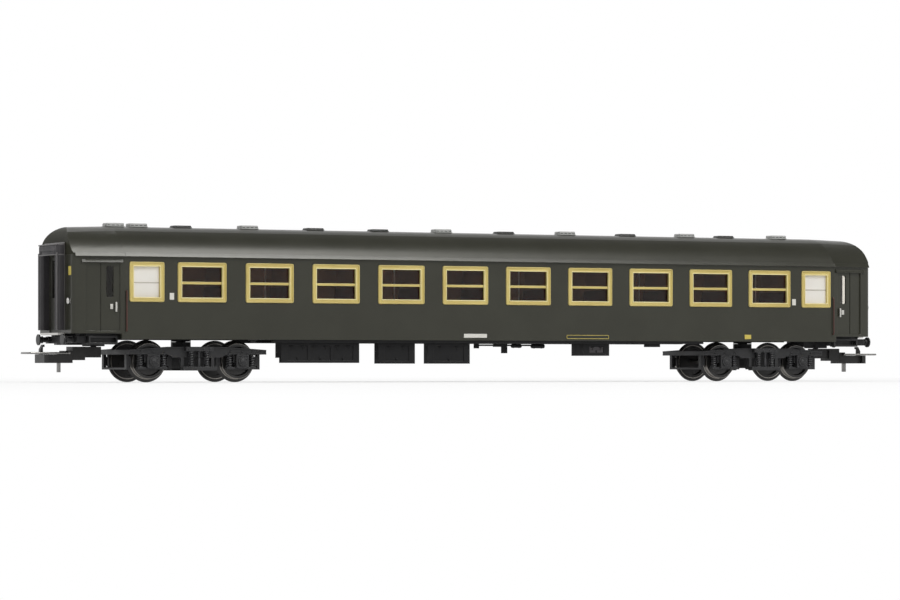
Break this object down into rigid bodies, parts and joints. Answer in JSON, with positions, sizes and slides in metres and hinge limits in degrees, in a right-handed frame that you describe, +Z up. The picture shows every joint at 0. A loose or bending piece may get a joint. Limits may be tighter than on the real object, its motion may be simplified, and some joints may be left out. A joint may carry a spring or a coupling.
{
  "type": "model railway passenger coach",
  "caption": "1:87 model of a long olive green compartment coach with cream window frames, rubber gangways, swivelling bogies, turning wheelsets and loop couplers.",
  "frame": {"origin": "middle of the coach in plan, on the plane of the wheel flange tips", "axes": "+X along the coach to the right end seen from the near side, +Y across to the far side, +Z up"},
  "size_m": [0.2976, 0.0336, 0.0476],
  "materials": {
    "body_paint": "satin",
    "roof_paint": "satin",
    "vent_grey": "matte",
    "frame_cream": "satin",
    "clear_glazing": "polished",
    "frosted_glazing": "satin",
    "bellows_rubber": "matte",
    "plate_steel": "satin",
    "interior_brown": "matte",
    "bench_red": "matte",
    "underframe_black": "matte",
    "bogie_black": "matte",
    "wheel_metal": "satin",
    "axle_metal": "satin",
    "coupler_black": "satin",
    "loop_metal": "satin",
    "lamp_white": "satin"
  },
  "bodies": {
    "coach": {"body_shell": "body_paint", "roof": "roof_paint", "roof_vents": "vent_grey", "window_frames_near": "frame_cream", "window_frames_far": "frame_cream", "window_glass_near": "clear_glazing", "window_glass_far": "clear_glazing", "toilet_panes": "frosted_glazing", "door_glass": "clear_glazing", "gangway_left": "bellows_rubber", "gangway_right": "bellows_rubber", "bridge_plates": "plate_steel", "end_doors": "underframe_black", "end_lamps": "lamp_white", "interior_walls": "interior_brown", "benches": "bench_red", "floor_pan": "underframe_black", "solebars": "underframe_black", "headstocks": "underframe_black", "pivot_posts": "underframe_black", "coupler_guides": "underframe_black", "ballast_plate": "plate_steel", "buffers_left": "underframe_black", "buffers_right": "underframe_black", "door_steps": "underframe_black", "battery_boxes": "underframe_black", "equipment_boxes": "underframe_black", "brake_gear": "underframe_black"},
    "bogie_left": {"bogie_frame_left": "bogie_black", "axle_boxes_left": "bogie_black", "bogie_springs_left": "bogie_black", "bogie_brakes_left": "bogie_black"},
    "bogie_right": {"bogie_frame_right": "bogie_black", "axle_boxes_right": "bogie_black", "bogie_springs_right": "bogie_black", "bogie_brakes_right": "bogie_black"},
    "wheelset_1": {"axle_1": "axle_metal", "wheels_1": "wheel_metal"},
    "wheelset_2": {"axle_2": "axle_metal", "wheels_2": "wheel_metal"},
    "wheelset_3": {"axle_3": "axle_metal", "wheels_3": "wheel_metal"},
    "wheelset_4": {"axle_4": "axle_metal", "wheels_4": "wheel_metal"},
    "coupler_left": {"drawbar_left": "coupler_black", "coupler_head_left": "coupler_black"},
    "loop_left": {"coupler_loop_left": "loop_metal"},
    "coupler_right": {"drawbar_right": "coupler_black", "coupler_head_right": "coupler_black"},
    "loop_right": {"coupler_loop_right": "loop_metal"}
  },
  "joints": [
    {"name": "bogie_left_swivel", "type": "hinge", "parent": "coach", "child": "bogie_left", "pos_m": [-0.09885, 0, 0.0116], "axis": [0, 0, 1], "range_deg": [-14, 14]},
    {"name": "bogie_right_swivel", "type": "hinge", "parent": "coach", "child": "bogie_right", "pos_m": [0.09885, 0, 0.0116], "axis": [0, 0, -1], "range_deg": [-14, 14]},
    {"name": "wheelset_1_spin", "type": "hinge", "parent": "bogie_left", "child": "wheelset_1", "pos_m": [-0.11322, 0, 0.0063], "axis": [0, 1, 0], "continuous": true},
    {"name": "wheelset_2_spin", "type": "hinge", "parent": "bogie_left", "child": "wheelset_2", "pos_m": [-0.08448, 0, 0.0063], "axis": [0, 1, 0], "continuous": true},
    {"name": "wheelset_3_spin", "type": "hinge", "parent": "bogie_right", "child": "wheelset_3", "pos_m": [0.08448, 0, 0.0063], "axis": [0, 1, 0], "continuous": true},
    {"name": "wheelset_4_spin", "type": "hinge", "parent": "bogie_right", "child": "wheelset_4", "pos_m": [0.11322, 0, 0.0063], "axis": [0, 1, 0], "continuous": true},
    {"name": "coupler_left_swing", "type": "hinge", "parent": "coach", "child": "coupler_left", "pos_m": [-0.127, 0, 0.009], "axis": [0, 0, 1], "range_deg": [-14, 14]},
    {"name": "coupler_right_swing", "type": "hinge", "parent": "coach", "child": "coupler_right", "pos_m": [0.127, 0, 0.009], "axis": [0, 0, -1], "range_deg": [-14, 14]},
    {"name": "loop_left_lift", "type": "hinge", "parent": "coupler_left", "child": "loop_left", "pos_m": [-0.136, 0, 0.0087], "axis": [0, 1, 0], "range_deg": [0, 15]},
    {"name": "loop_right_lift", "type": "hinge", "parent": "coupler_right", "child": "loop_right", "pos_m": [0.136, 0, 0.0087], "axis": [0, -1, 0], "range_deg": [0, 15]}
  ]
}
